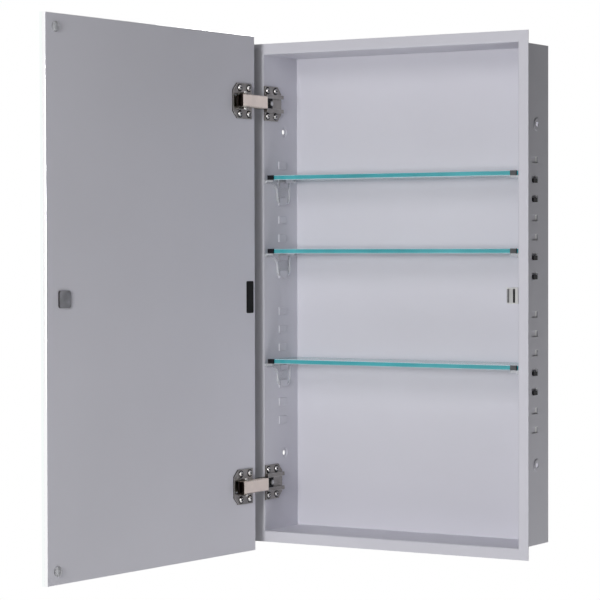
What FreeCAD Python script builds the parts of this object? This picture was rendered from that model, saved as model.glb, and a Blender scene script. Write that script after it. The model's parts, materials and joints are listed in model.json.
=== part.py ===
# Recessed steel medicine cabinet with a left-hinged mirror door and three glass shelves.
# Millimetres. +X right, +Y into the wall, +Z up. The origin is the centre of the face
# of the flange that lies on the wall. The door is drawn open, as it stands at rest.
import FreeCAD
import Part
import Sketcher
import math
import os

doc = FreeCAD.newDocument("MedicineCabinet")

# Driving sizes
SIZES = (
    # Folded steel box
    ("sheet_thickness", "0.9"),
    ("bend_radius", "1.2"),
    ("box_width", "367.4"),
    ("box_height", "618.4"),
    ("box_depth", "82.5"),
    ("flange_width", "13.3"),
    # Knock-outs and slots for the shelf brackets
    ("knockout_pitch", "23.8"),
    ("knockout_setback", "44.1"),
    ("knockout_length", "18"),
    ("knockout_height", "9.5"),
    ("knockout_rise", "1.2"),
    ("slot_length", "13"),
    ("slot_height", "6.4"),
    # Dished holes for the screws into the wall studs
    ("mount_hole_diameter", "6.5"),
    ("mount_hole_rise", "210.5"),
    ("mount_hole_setback", "49.1"),
    ("dish_diameter", "13"),
    ("dish_depth", "1.1"),
    # Glass shelves
    ("shelf_thickness", "6"),
    ("shelf_setback", "5.1"),
    ("shelf_rear_gap", "6.5"),
    ("shelf_end_gap", "3"),
    ("shelf_corner_radius", "3"),
    ("shelf_edge_chamfer", "0.6"),
    ("shelf_clearance", "0.3"),
    ("shelf_seat_rise", "4"),
    # Shelf brackets
    ("bracket_thickness", "2.6"),
    ("bracket_rear_inset", "15.1"),
    ("bracket_foot_width", "30"),
    ("bracket_drop", "32"),
    ("bracket_nose_height", "5"),
    ("bracket_foot_radius", "12"),
    ("bracket_throat_radius", "13"),
    ("bracket_ledge_width", "12"),
    ("bracket_ledge_thickness", "2.6"),
    ("bracket_stop_thickness", "3"),
    ("bracket_stop_width", "8"),
    ("hook_height", "4.2"),
    ("hook_reach", "1.5"),
    ("hook_lip", "1.2"),
    ("hook_clearance", "0.3"),
    # Door
    ("door_width", "406.4"),
    ("door_height", "660.4"),
    ("door_gap", "5"),
    ("door_open_angle", "93.5"),
    ("mirror_thickness", "4.8"),
    ("mirror_chamfer", "0.8"),
    ("pan_thickness", "0.9"),
    ("pan_depth", "4.5"),
    ("pan_bend_radius", "1"),
    ("bond_width", "25"),
    ("bond_end_gap", "30.2"),
    ("bond_inset", "60"),
    # Hinges
    ("hinge_drop", "62.3"),
    ("pivot_standoff", "11"),
    ("pivot_inset", "31.4"),
    ("pivot_height", "8"),
    ("arm_travel", "64"),
    ("arm_height", "16"),
    ("arm_below_pivot", "4.6"),
    ("arm_above_pivot", "4.4"),
    ("arm_nose", "11.2"),
    ("arm_boss", "4.5"),
    ("arm_tail", "47"),
    ("arm_wall", "1.5"),
    ("arm_edge_chamfer", "0.9"),
    ("plate_thickness", "1.5"),
    ("plate_length", "40"),
    ("plate_height", "45"),
    ("plate_chamfer", "9"),
    ("plate_screw_lead", "6.5"),
    ("plate_screw_spacing", "19"),
    ("plate_screw_rise", "33"),
    ("plate_screw_hole", "4.2"),
    ("door_plate_lead", "23.4"),
    ("wall_plate_setback", "0.4"),
    ("window_lead", "6.4"),
    ("window_length", "20"),
    ("ear_thickness", "2"),
    ("ear_width", "9"),
    ("ear_above_pivot", "4"),
    ("ear_clearance", "0.4"),
    ("pin_diameter", "4"),
    ("pin_overhang", "0.8"),
    ("pin_clearance", "0.05"),
    ("slide_thickness", "1.8"),
    ("slide_height", "16.4"),
    ("slide_neck_height", "12.6"),
    ("slide_front", "33.5"),
    ("slide_rear_gap", "2"),
    ("slide_clearance", "0.3"),
    ("rail_width", "3"),
    ("rail_length", "40"),
    ("rail_lip_thickness", "1.2"),
    ("stop_pin_diameter", "6"),
    ("stop_pin_height", "2"),
    ("stop_pin_inset", "4.5"),
    # Magnetic catch, its strike plate and the bumpers
    ("catch_width", "15"),
    ("catch_height", "20"),
    ("catch_length", "18"),
    ("catch_wall", "1.6"),
    ("catch_slot_depth", "14"),
    ("magnet_width", "6.5"),
    ("pole_thickness", "1.6"),
    ("pole_lead", "2.6"),
    ("strike_size", "20"),
    ("strike_thickness", "2"),
    ("strike_radius", "3"),
    ("strike_inset", "31"),
    ("strike_air_gap", "0.3"),
    ("bumper_diameter", "12.7"),
    ("bumper_inset", "17.5"),
    ("bumper_drop", "16"),
    ("bumper_chamfer", "2"),
    ("bumper_air_gap", "0.3"),
)

# Places worked out from the driving sizes
PLACES = (
    ("half_width", "Sizes.box_width / 2"),
    ("half_height", "Sizes.box_height / 2"),
    ("inner_half_width", "Sizes.box_width / 2 - Sizes.sheet_thickness"),
    ("inner_half_height", "Sizes.box_height / 2 - Sizes.sheet_thickness"),
    ("flange_half_width", "Sizes.box_width / 2 + Sizes.flange_width"),
    ("flange_half_height", "Sizes.box_height / 2 + Sizes.flange_width"),
    ("bend_outside", "Sizes.bend_radius + Sizes.sheet_thickness"),
    ("back_face", "Sizes.box_depth - Sizes.sheet_thickness"),
    ("shelf_rear", "back_face - Sizes.shelf_rear_gap"),
    ("bracket_front", "Sizes.shelf_setback - Sizes.shelf_clearance - Sizes.bracket_stop_thickness"),
    ("bracket_rear", "shelf_rear - Sizes.bracket_rear_inset"),
    ("door_face", "-Sizes.sheet_thickness - Sizes.door_gap"),
    ("hinge_rise", "inner_half_height - Sizes.hinge_drop"),
    ("pivot_x", "Sizes.pivot_standoff - inner_half_width"),
    ("pivot_y", "door_face + Sizes.pivot_height - Sizes.arm_travel"),
    ("wall_plate_top", "Sizes.plate_thickness - inner_half_width"),
    ("slide_bottom", "wall_plate_top + Sizes.slide_clearance"),
    ("slide_top", "slide_bottom + Sizes.slide_thickness"),
    ("lip_bottom", "slide_top + Sizes.slide_clearance"),
    ("slide_end", "back_face - Sizes.slide_rear_gap - Sizes.arm_travel"),
    ("arm_underside", "pivot_x - Sizes.arm_below_pivot"),
    ("ear_start", "Sizes.arm_height / 2 + Sizes.ear_clearance"),
    ("pole_front", "door_face + Sizes.strike_thickness + Sizes.strike_air_gap"),
)


def make_sheet(name, rows, prefix):
    sheet = doc.addObject("Spreadsheet::Sheet", name)
    for number, (alias, content) in enumerate(rows, start=1):
        sheet.set(f"A{number}", alias)
        sheet.set(f"B{number}", prefix + content)
        sheet.setAlias(f"B{number}", alias)
    doc.recompute()


make_sheet("Sizes", SIZES, "")
make_sheet("Layout", PLACES, "=")
nodes = []

SIDES = {"left": -1, "right": 1}
ENDS = {"upper": 1, "lower": -1}
HINGE_RISES = {"upper": "Layout.hinge_rise", "lower": "-Layout.hinge_rise"}
WALL_FACE = "0"
DOOR_BACK = "0"
ON_PIVOT = "0"
FLUSH = "0"
TOLERANCE = 0.01


def new_body(label):
    body = doc.addObject("PartDesign::Body", label)
    body.Label = label
    nodes.append(body)
    return body


def new_door_body(label):
    # Drawn with the door shut and the hinge pin at the origin, then turned open
    body = new_body(label)
    body.Placement = FreeCAD.Placement(FreeCAD.Vector(), FreeCAD.Rotation(FreeCAD.Vector(0, 0, -1), 90))
    body.setExpression("Placement.Base.x", "Layout.pivot_x")
    body.setExpression("Placement.Base.y", "Layout.pivot_y")
    body.setExpression("Placement.Rotation.Angle", "Sizes.door_open_angle")
    return body


# Sketches and features

def sketch_on(body, plane, start):
    sketch = body.newObject("Sketcher::SketchObject", body.Label + "_sketch")
    support = [item for item in body.Origin.OriginFeatures if item.Role == plane]
    sketch.AttachmentSupport = [(support[0], "")]
    sketch.MapMode = "FlatFace"
    sign = "-" if plane == "XZ_Plane" else ""
    sketch.setExpression("AttachmentOffset.Base.z", f"{sign}({start})")
    return sketch


def fix_coordinate(sketch, kind, line, point, formula):
    value = sketch.evalExpression(formula)
    index = sketch.addConstraint(Sketcher.Constraint(kind, -1, 1, line, point, value))
    sketch.setExpression(f"Constraints[{index}]", formula)


def draw_polygon(sketch, corners):
    points = [FreeCAD.Vector(sketch.evalExpression(x), sketch.evalExpression(y), 0) for x, y in corners]
    first = sketch.GeometryCount
    count = len(points)
    for i in range(count):
        sketch.addGeometry(Part.LineSegment(points[i], points[(i + 1) % count]))
    for i in range(count):
        sketch.addConstraint(Sketcher.Constraint("Coincident", first + i, 2, first + (i + 1) % count, 1))
    for i, (x, y) in enumerate(corners):
        fix_coordinate(sketch, "DistanceX", first + i, 1, x)
        fix_coordinate(sketch, "DistanceY", first + i, 1, y)


def draw_square_outline(sketch, offsets, radii=None):
    # Upright and level lines in turn, each at its offset, with arcs at the corners in radii.
    # Corner i lies between line i and the next line.
    radii = radii or {}
    count = len(offsets)
    values = [sketch.evalExpression(offset) for offset in offsets]
    corners = []
    for i in range(count):
        a, b = values[i], values[(i + 1) % count]
        corners.append(FreeCAD.Vector(a, b, 0) if i % 2 == 0 else FreeCAD.Vector(b, a, 0))
    rounding = {i: sketch.evalExpression(radius) for i, radius in radii.items()}
    first = sketch.GeometryCount
    steps = [(corners[i] - corners[i - 1]).normalize() for i in range(count)]
    for i in range(count):
        start = corners[i - 1] + steps[i] * rounding.get((i - 1) % count, 0)
        end = corners[i] - steps[i] * rounding.get(i, 0)
        sketch.addGeometry(Part.LineSegment(start, end))
        sketch.addConstraint(Sketcher.Constraint("Vertical" if i % 2 == 0 else "Horizontal", first + i))
    for i in range(count):
        following = (i + 1) % count
        if i not in radii:
            sketch.addConstraint(Sketcher.Constraint("Coincident", first + i, 2, first + following, 1))
            continue
        before, after, radius = steps[i], steps[following], rounding[i]
        centre = corners[i] - before * radius + after * radius
        left_turn = before.cross(after).z > 0
        begin = -after if left_turn else before
        start_angle = FreeCAD.Vector(begin).getAngle(FreeCAD.Vector(1, 0, 0))
        if begin.y < 0:
            start_angle = -start_angle
        circle = Part.Circle(centre, FreeCAD.Vector(0, 0, 1), radius)
        arc = sketch.addGeometry(Part.ArcOfCircle(circle, start_angle, start_angle + math.pi / 2))
        entry, leave = (1, 2) if left_turn else (2, 1)
        sketch.addConstraint(Sketcher.Constraint("Tangent", first + i, 2, arc, entry))
        sketch.addConstraint(Sketcher.Constraint("Tangent", arc, leave, first + following, 1))
        index = sketch.addConstraint(Sketcher.Constraint("Radius", arc, radius))
        sketch.setExpression(f"Constraints[{index}]", radii[i])
    for i, offset in enumerate(offsets):
        fix_coordinate(sketch, "DistanceX" if i % 2 == 0 else "DistanceY", first + i, 1, offset)


def draw_circle(sketch, x, y, diameter):
    centre = FreeCAD.Vector(sketch.evalExpression(x), sketch.evalExpression(y), 0)
    circle = Part.Circle(centre, FreeCAD.Vector(0, 0, 1), sketch.evalExpression(diameter) / 2)
    index = sketch.addGeometry(circle)
    fix_coordinate(sketch, "DistanceX", index, 3, x)
    fix_coordinate(sketch, "DistanceY", index, 3, y)
    size = Sketcher.Constraint("Diameter", index, sketch.evalExpression(diameter))
    sketch.setExpression(f"Constraints[{sketch.addConstraint(size)}]", diameter)


def extrude(body, sketch, kind, length, towards_minus):
    feature = body.newObject("PartDesign::" + kind, body.Label + "_" + kind.lower())
    feature.Profile = sketch
    feature.Reversed = towards_minus
    feature.setExpression("Length", length)
    doc.recompute()
    return feature


def pad(body, sketch, length):
    # Adds from the sketch towards the positive axis
    plane = sketch.AttachmentSupport[0][0].Role
    return extrude(body, sketch, "Pad", length, plane == "XZ_Plane")


def pocket(body, sketch, length):
    # Cuts from the sketch towards the positive axis
    before = body.Shape.Volume
    plane = sketch.AttachmentSupport[0][0].Role
    feature = extrude(body, sketch, "Pocket", length, plane != "XZ_Plane")
    if body.Shape.Volume >= before:
        raise RuntimeError(feature.Label + " cuts nothing")
    return feature


def between(low, high):
    return f"({high}) - ({low})"


def block(body, x, y, z, radii=None):
    # A straight-sided block from low to high along each axis, drawn on the level plane
    sketch = sketch_on(body, "XY_Plane", z[0])
    draw_square_outline(sketch, (x[0], y[0], x[1], y[1]), radii)
    return pad(body, sketch, between(*z))


def break_edges(body, feature, kind, size, chosen):
    # A Fillet's Radius or a Chamfer's Size on the edges that are chosen
    edges = enumerate(feature.Shape.Edges, start=1)
    names = [f"Edge{number}" for number, edge in edges if chosen(edge)]
    broken = body.newObject("PartDesign::" + kind, body.Label + "_" + kind.lower())
    broken.Base = (feature, names)
    broken.setExpression("Radius" if kind == "Fillet" else "Size", size)
    doc.recompute()


def outward(side, low, high):
    # A span measured outward from the middle, on the left (-1) or the right (+1)
    if side > 0:
        return low, high
    return f"-({high})", f"-({low})"


# Steel box: one strip folded round the top, back and bottom, and two side panels.
# Their flanges and walls meet in mitred corners.

def make_body_wrap():
    body = new_body("body_wrap")
    front = "-Sizes.sheet_thickness"
    profile = sketch_on(body, "YZ_Plane", "-Layout.flange_half_width")
    lines = (
        front, "Layout.flange_half_height", WALL_FACE, "Layout.half_height",
        "Sizes.box_depth", "-Layout.half_height", WALL_FACE,
        "-Layout.flange_half_height", front, "-Layout.inner_half_height",
        "Layout.back_face", "Layout.inner_half_height",
    )
    inside, outside = "Sizes.bend_radius", "Layout.bend_outside"
    bends = {2: inside, 3: outside, 4: outside, 5: inside, 8: outside, 9: inside, 10: inside, 11: outside}
    draw_square_outline(profile, lines, bends)
    pad(body, profile, "2 * Layout.flange_half_width")
    ends = sketch_on(body, "XZ_Plane", "-2 * Sizes.sheet_thickness")
    for side in (-1, 1):
        wall = f"{side} * Layout.inner_half_width"
        mitre = f"{side} * (Layout.flange_half_width + Sizes.flange_width)"
        beyond = f"{side} * (Layout.flange_half_width + 2 * Sizes.flange_width)"
        top = "Layout.flange_half_height + Sizes.flange_width"
        draw_polygon(ends, (
            (wall, "-Layout.inner_half_height"), (wall, "Layout.inner_half_height"),
            (mitre, top), (beyond, top), (beyond, f"-({top})"), (mitre, f"-({top})"),
        ))
    pocket(body, ends, "Sizes.box_depth + 4 * Sizes.sheet_thickness")


SHELF_ROWS = {"upper": 6, "middle": 2, "lower": -4}
ROWS_EACH_WAY = 7
ALL_ROWS = [row for k in range(1, ROWS_EACH_WAY + 1) for row in (k, -k)]
OPEN_ROWS = [row - step for row in SHELF_ROWS.values() for step in (0, 1)]


def draw_row_outlines(sketch, rows, shape, margin):
    # The outline of a knock-out or slot in each row, larger by the margin on every side
    y = "Sizes.knockout_setback"
    half_length = f"(Sizes.{shape}_length / 2 + {margin})"
    half_height = f"(Sizes.{shape}_height / 2 + {margin})"
    for row in rows:
        z = f"{row} * Sizes.knockout_pitch"
        draw_square_outline(sketch, (
            f"{y} - {half_length}", f"{z} - {half_height}", f"{y} + {half_length}", f"{z} + {half_height}",
        ))


def make_side_panel(label, side):
    body = new_body(label)
    profile = sketch_on(body, "XY_Plane", "-Layout.flange_half_height")
    lines = (
        f"{side} * Layout.inner_half_width", "-Sizes.sheet_thickness",
        f"{side} * Layout.flange_half_width", WALL_FACE,
        f"{side} * Layout.half_width", "Sizes.box_depth",
    )
    draw_square_outline(profile, lines, {0: "Layout.bend_outside", 3: "Sizes.bend_radius"})
    pad(body, profile, "2 * Layout.flange_half_height")
    ends = sketch_on(body, "XZ_Plane", "-2 * Sizes.sheet_thickness")
    for end in (-1, 1):
        low_x = f"{side} * (Layout.inner_half_width - Sizes.flange_width)"
        high_x = f"{side} * (Layout.flange_half_width + Sizes.flange_width)"
        low_z = f"{end} * (Layout.inner_half_height - Sizes.flange_width)"
        high_z = f"{end} * (Layout.flange_half_height + Sizes.flange_width)"
        draw_polygon(ends, ((low_x, low_z), (high_x, high_z), (low_x, high_z)))
    pocket(body, ends, "Sizes.box_depth + 4 * Sizes.sheet_thickness")
    form_bracket_rows(body, side)
    form_mount_dishes(body, side)


def form_bracket_rows(body, side):
    # Knock-outs pressed into the cabinet, and slots in those that hold a bracket
    rise = "Sizes.knockout_rise"
    bump = outward(side, f"Layout.inner_half_width - {rise}", "Layout.inner_half_width")
    recess = outward(side, f"Layout.half_width - {rise}", "Layout.half_width")
    through = outward(side, f"Layout.inner_half_width - 2 * {rise}", "Layout.half_width")
    bumps = sketch_on(body, "YZ_Plane", bump[0])
    draw_row_outlines(bumps, ALL_ROWS, "knockout", FLUSH)
    pad(body, bumps, rise)
    hollows = sketch_on(body, "YZ_Plane", recess[0])
    draw_row_outlines(hollows, ALL_ROWS, "knockout", "-Sizes.sheet_thickness")
    pocket(body, hollows, rise)
    slots = sketch_on(body, "YZ_Plane", through[0])
    draw_row_outlines(slots, OPEN_ROWS, "slot", FLUSH)
    pocket(body, slots, between(*through))


def form_mount_dishes(body, side):
    depth = "Sizes.dish_depth"
    rim = "(Sizes.dish_diameter + 2 * Sizes.sheet_thickness)"
    raised = outward(side, "Layout.half_width", f"Layout.half_width + {depth}")
    recess = outward(side, "Layout.inner_half_width", f"Layout.inner_half_width + {depth}")
    through = outward(side, "Layout.inner_half_width", f"Layout.half_width + 2 * {depth}")
    rounds = (
        (pad, raised[0], depth, rim),
        (pocket, recess[0], depth, "Sizes.dish_diameter"),
        (pocket, through[0], between(*through), "Sizes.mount_hole_diameter"),
    )
    for feature, start, length, diameter in rounds:
        sketch = sketch_on(body, "YZ_Plane", start)
        for end in (-1, 1):
            draw_circle(sketch, "Sizes.mount_hole_setback", f"{end} * Sizes.mount_hole_rise", diameter)
        feature(body, sketch, length)


# Glass shelves on clear brackets that hook into the slots

def seat_height(row):
    return f"{row} * Sizes.knockout_pitch + Sizes.shelf_seat_rise"


def make_shelf(label, row):
    body = new_body(label)
    half = "(Layout.inner_half_width - Sizes.shelf_end_gap)"
    seat = seat_height(row)
    corners = {corner: "Sizes.shelf_corner_radius" for corner in range(4)}
    plate = block(
        body, (f"-{half}", half), ("Sizes.shelf_setback", "Layout.shelf_rear"),
        (seat, f"{seat} + Sizes.shelf_thickness"), corners,
    )
    break_edges(
        body, plate, "Chamfer", "Sizes.shelf_edge_chamfer",
        lambda edge: edge.BoundBox.ZLength < TOLERANCE,
    )


def make_bracket(label, side, row):
    body = new_body(label)
    seat = seat_height(row)
    wall = "Layout.inner_half_width"
    web = outward(side, f"{wall} - Sizes.bracket_thickness", wall)
    outline = sketch_on(body, "YZ_Plane", web[0])
    lines = (
        "Layout.bracket_front", seat, "Layout.bracket_rear", f"{seat} - Sizes.bracket_drop",
        "Layout.bracket_rear - Sizes.bracket_foot_width", f"{seat} - Sizes.bracket_nose_height",
    )
    foot, throat = "Sizes.bracket_foot_radius", "Sizes.bracket_throat_radius"
    draw_square_outline(outline, lines, {2: foot, 3: foot, 4: throat})
    pad(body, outline, "Sizes.bracket_thickness")
    ledge = outward(side, f"{wall} - Sizes.bracket_ledge_width", wall)
    run = ("Layout.bracket_front", "Layout.bracket_rear")
    block(body, ledge, run, (f"{seat} - Sizes.bracket_ledge_thickness", seat))
    stop = outward(
        side, f"{wall} - Sizes.bracket_ledge_width",
        f"{wall} - Sizes.bracket_ledge_width + Sizes.bracket_stop_width",
    )
    front = ("Layout.bracket_front", "Layout.bracket_front + Sizes.bracket_stop_thickness")
    rise = (f"{seat} - Sizes.bracket_ledge_thickness", f"{seat} + Sizes.shelf_thickness")
    block(body, stop, front, rise)
    rows = (row, row - 1)
    relief = outward(side, f"{wall} - Sizes.knockout_rise - Sizes.hook_clearance", wall)
    room = sketch_on(body, "YZ_Plane", relief[0])
    draw_row_outlines(room, rows, "knockout", "Sizes.hook_clearance")
    pocket(body, room, between(*relief))
    for hooked in rows:
        add_hook(body, side, hooked)


def add_hook(body, side, row):
    # A tab through the slot, with a lip that drops behind the sheet
    centre = "Sizes.knockout_setback"
    half = "(Sizes.slot_length / 2 - Sizes.hook_clearance)"
    width = (f"{centre} - {half}", f"{centre} + {half}")
    bottom = f"{row} * Sizes.knockout_pitch - Sizes.slot_height / 2"
    root = "Layout.inner_half_width - Sizes.bracket_thickness"
    tip = "Layout.half_width + Sizes.hook_reach"
    block(body, outward(side, root, tip), width, (bottom, f"{bottom} + Sizes.hook_height"))
    lip = outward(side, "Layout.half_width + Sizes.hook_clearance", tip)
    block(body, lip, width, (f"{bottom} - Sizes.hook_lip", f"{bottom} + Sizes.hook_height"))


# Hinges: a plate with guide rails on the cabinet wall, an arm that slides in them,
# and a plate with two ears on the door that turns on a pin through the arm's end

def draw_plate(sketch, low, rise):
    high = f"({low} + Sizes.plate_length)"
    top = f"{rise} + Sizes.plate_height / 2"
    bottom = f"{rise} - Sizes.plate_height / 2"
    cut = "Sizes.plate_chamfer"
    draw_polygon(sketch, (
        (low, bottom), (f"{high} - {cut}", bottom), (high, f"{bottom} + {cut}"),
        (high, f"{top} - {cut}"), (f"{high} - {cut}", top), (low, top),
    ))
    for place in (0, 1):
        for up in (-1, 1):
            along = f"{low} + Sizes.plate_screw_lead + {place} * Sizes.plate_screw_spacing"
            height = f"{rise} + {up} * Sizes.plate_screw_rise / 2"
            draw_circle(sketch, along, height, "Sizes.plate_screw_hole")


def make_wall_plate(label, rise):
    body = new_body(label)
    low = "Sizes.wall_plate_setback"
    plate = sketch_on(body, "YZ_Plane", "-Layout.inner_half_width")
    draw_plate(plate, low, rise)
    pad(body, plate, "Sizes.plate_thickness")
    length = (low, f"{low} + Sizes.rail_length")
    groove = "(Sizes.slide_height / 2 + Sizes.slide_clearance)"
    mouth = "(Sizes.slide_neck_height / 2 + Sizes.slide_clearance)"
    for up in (-1, 1):
        rail = span_from(up, rise, groove, f"{groove} + Sizes.rail_width")
        lip = span_from(up, rise, mouth, f"{groove} + Sizes.rail_width")
        block(body, ("Layout.wall_plate_top", "Layout.lip_bottom"), length, rail)
        block(body, ("Layout.lip_bottom", "Layout.lip_bottom + Sizes.rail_lip_thickness"), length, lip)


def span_from(up, middle, near, far):
    if up > 0:
        return f"{middle} + {near}", f"{middle} + {far}"
    return f"{middle} - ({far})", f"{middle} - ({near})"


def make_slide(label, rise):
    body = new_body(label)
    run = ("Layout.pivot_y + Sizes.slide_front", "Layout.slide_end")
    half, neck = "Sizes.slide_height / 2", "Sizes.slide_neck_height / 2"
    block(body, ("Layout.slide_bottom", "Layout.slide_top"), run, (f"{rise} - {half}", f"{rise} + {half}"))
    joined = (run[0], "Layout.pivot_y + Sizes.arm_tail")
    stem = ("Layout.slide_top", "Layout.arm_underside")
    block(body, stem, joined, (f"{rise} - {neck}", f"{rise} + {neck}"))


def make_stop_pin(label, rise):
    body = new_body(label)
    sketch = sketch_on(body, "YZ_Plane", "Layout.slide_top")
    draw_circle(sketch, "Layout.slide_end - Sizes.stop_pin_inset", rise, "Sizes.stop_pin_diameter")
    pad(body, sketch, "Sizes.stop_pin_height")


def make_arm(label, rise):
    # A square steel tube, open at both ends, with a solid boss for the pin
    body = new_body(label)
    outline = sketch_on(body, "XY_Plane", f"{rise} - Sizes.arm_height / 2")
    top = "Layout.pivot_x + Sizes.arm_above_pivot"
    tail = "Layout.pivot_y + Sizes.arm_tail"
    nose = "Layout.pivot_y - Sizes.arm_nose"
    draw_square_outline(outline, ("Layout.arm_underside", nose, top, tail))
    draw_circle(outline, "Layout.pivot_x", "Layout.pivot_y", "Sizes.pin_diameter + 2 * Sizes.pin_clearance")
    solid = pad(body, outline, "Sizes.arm_height")
    break_edges(body, solid, "Chamfer", "Sizes.arm_edge_chamfer", lambda edge: is_long_top_edge(edge, solid))
    hollow = sketch_on(body, "XY_Plane", f"{rise} - Sizes.arm_height / 2 + Sizes.arm_wall")
    left, right = "Layout.arm_underside + Sizes.arm_wall", f"{top} - Sizes.arm_wall"
    draw_square_outline(hollow, (left, "Layout.pivot_y + Sizes.arm_boss", right, f"{tail} + Sizes.arm_wall"))
    draw_square_outline(hollow, (left, f"{nose} - Sizes.arm_wall", right, "Layout.pivot_y - Sizes.arm_boss"))
    pocket(body, hollow, "Sizes.arm_height - 2 * Sizes.arm_wall")


def is_long_top_edge(edge, solid):
    box = edge.BoundBox
    at_top = box.XMin > solid.Shape.BoundBox.XMax - TOLERANCE
    return at_top and box.ZLength < TOLERANCE


def on_door(inset):
    return f"({inset} - Sizes.pivot_inset)"


def off_door(height):
    return f"({height} - Sizes.pivot_height)"


def make_door_plate(label, rise):
    body = new_door_body(label)
    plate = sketch_on(body, "XZ_Plane", off_door(DOOR_BACK))
    draw_plate(plate, "-Sizes.door_plate_lead", rise)
    draw_square_outline(plate, window_lines(rise))
    pad(body, plate, "Sizes.plate_thickness")
    half = "Sizes.ear_width / 2"
    top = "Sizes.ear_above_pivot"
    base = off_door("Sizes.plate_thickness")
    for up in (-1, 1):
        span = span_from(up, rise, "Layout.ear_start", "Layout.ear_start + Sizes.ear_thickness")
        ear = sketch_on(body, "XY_Plane", span[0])
        draw_square_outline(ear, (f"-{half}", base, half, top), {2: top, 3: top})
        draw_circle(ear, ON_PIVOT, ON_PIVOT, "Sizes.pin_diameter + Sizes.pin_clearance")
        pad(body, ear, "Sizes.ear_thickness")


def window_lines(rise):
    # The opening in the plate and the pan that the arm's nose swings into
    low = "-Sizes.window_lead"
    high = f"{low} + Sizes.window_length"
    return low, f"{rise} - Layout.ear_start", high, f"{rise} + Layout.ear_start"


def make_pivot_pin(label, rise):
    body = new_door_body(label)
    reach = "(Layout.ear_start + Sizes.ear_thickness + Sizes.pin_overhang)"
    sketch = sketch_on(body, "XY_Plane", f"{rise} - {reach}")
    draw_circle(sketch, ON_PIVOT, ON_PIVOT, "Sizes.pin_diameter")
    pad(body, sketch, f"2 * {reach}")


# Door: a shallow steel pan bonded to a frameless mirror

DOOR_SPAN = ("-Sizes.pivot_inset", on_door("Sizes.door_width"))
DOOR_RISE = ("-Sizes.door_height / 2", "Sizes.door_height / 2")


def make_mirror():
    body = new_door_body("mirror_glass")
    back = off_door("-Sizes.pan_depth")
    plate = block(body, DOOR_SPAN, (f"{back} - Sizes.mirror_thickness", back), DOOR_RISE)
    front = plate.Shape.BoundBox.YMin
    break_edges(
        body, plate, "Chamfer", "Sizes.mirror_chamfer",
        lambda edge: edge.BoundBox.YMax < front + TOLERANCE,
    )


def make_door_pan():
    body = new_door_body("door_back_panel")
    wall = "Sizes.pan_thickness"
    tray = block(body, DOOR_SPAN, (off_door("-Sizes.pan_depth"), off_door(DOOR_BACK)), DOOR_RISE)
    back = tray.Shape.BoundBox.YMax
    break_edges(
        body, tray, "Fillet", "Sizes.pan_bend_radius",
        lambda edge: edge.BoundBox.YMin > back - TOLERANCE,
    )
    hollow = sketch_on(body, "XZ_Plane", off_door("-Sizes.pan_depth"))
    draw_square_outline(hollow, (
        f"{DOOR_SPAN[0]} + {wall}", f"{DOOR_RISE[0]} + {wall}",
        f"{DOOR_SPAN[1]} - {wall}", f"{DOOR_RISE[1]} - {wall}",
    ))
    pocket(body, hollow, f"Sizes.pan_depth - {wall}")
    windows = sketch_on(body, "XZ_Plane", off_door("-Sizes.pan_depth"))
    for rise in HINGE_RISES.values():
        draw_square_outline(windows, window_lines(rise))
    pocket(body, windows, "2 * Sizes.pan_depth")


def make_bond_strip(label, left_edge):
    body = new_door_body(label)
    half = "(Sizes.door_height / 2 - Sizes.bond_end_gap)"
    depth = (off_door("-Sizes.pan_depth"), off_door("-Sizes.pan_thickness"))
    block(body, (left_edge, f"{left_edge} + Sizes.bond_width"), depth, (f"-{half}", half))


def make_strike():
    body = new_door_body("strike_plate")
    centre = on_door("(Sizes.door_width - Sizes.strike_inset)")
    half = "Sizes.strike_size / 2"
    sketch = sketch_on(body, "XZ_Plane", off_door(DOOR_BACK))
    lines = (f"{centre} - {half}", f"-{half}", f"{centre} + {half}", half)
    draw_square_outline(sketch, lines, {corner: "Sizes.strike_radius" for corner in range(4)})
    pad(body, sketch, "Sizes.strike_thickness")


def make_bumper(label, end):
    body = new_door_body(label)
    sketch = sketch_on(body, "XZ_Plane", off_door(DOOR_BACK))
    draw_circle(
        sketch, on_door("(Sizes.door_width - Sizes.bumper_inset)"),
        f"{end} * (Sizes.door_height / 2 - Sizes.bumper_drop)", "Sizes.bumper_diameter",
    )
    post = pad(body, sketch, "Sizes.door_gap - Sizes.bumper_air_gap")
    top = post.Shape.BoundBox.YMax
    break_edges(
        body, post, "Chamfer", "Sizes.bumper_chamfer",
        lambda edge: edge.BoundBox.YMin > top - TOLERANCE,
    )


# Magnetic catch on the right wall, in line with the strike plate

def make_catch():
    half = "Sizes.catch_height / 2"
    wall = "Layout.inner_half_width"
    left = f"{wall} - Sizes.catch_width"
    shell = "Sizes.catch_wall"
    front = "Layout.pole_front + Sizes.pole_lead"
    rise = (f"-{half}", half)
    housing = new_body("catch_housing")
    block(housing, (left, wall), (front, f"{front} + Sizes.catch_length"), rise)
    stack = (f"{left} + {shell}", f"{left} + {shell} + Sizes.magnet_width + 2 * Sizes.pole_thickness")
    inner_rise = (f"-{half} + {shell}", f"{half} - {shell}")
    slot = sketch_on(housing, "XZ_Plane", front)
    draw_square_outline(slot, (stack[0], inner_rise[0], stack[1], inner_rise[1]))
    pocket(housing, slot, "Sizes.catch_slot_depth")
    rear = f"{front} + Sizes.catch_slot_depth"
    magnet = (f"{stack[0]} + Sizes.pole_thickness", f"{stack[1]} - Sizes.pole_thickness")
    pieces = {
        "catch_magnet": (magnet, front),
        "catch_left_pole": ((stack[0], magnet[0]), "Layout.pole_front"),
        "catch_right_pole": ((magnet[1], stack[1]), "Layout.pole_front"),
    }
    for label, (span, start) in pieces.items():
        block(new_body(label), span, (start, rear), inner_rise)


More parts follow.
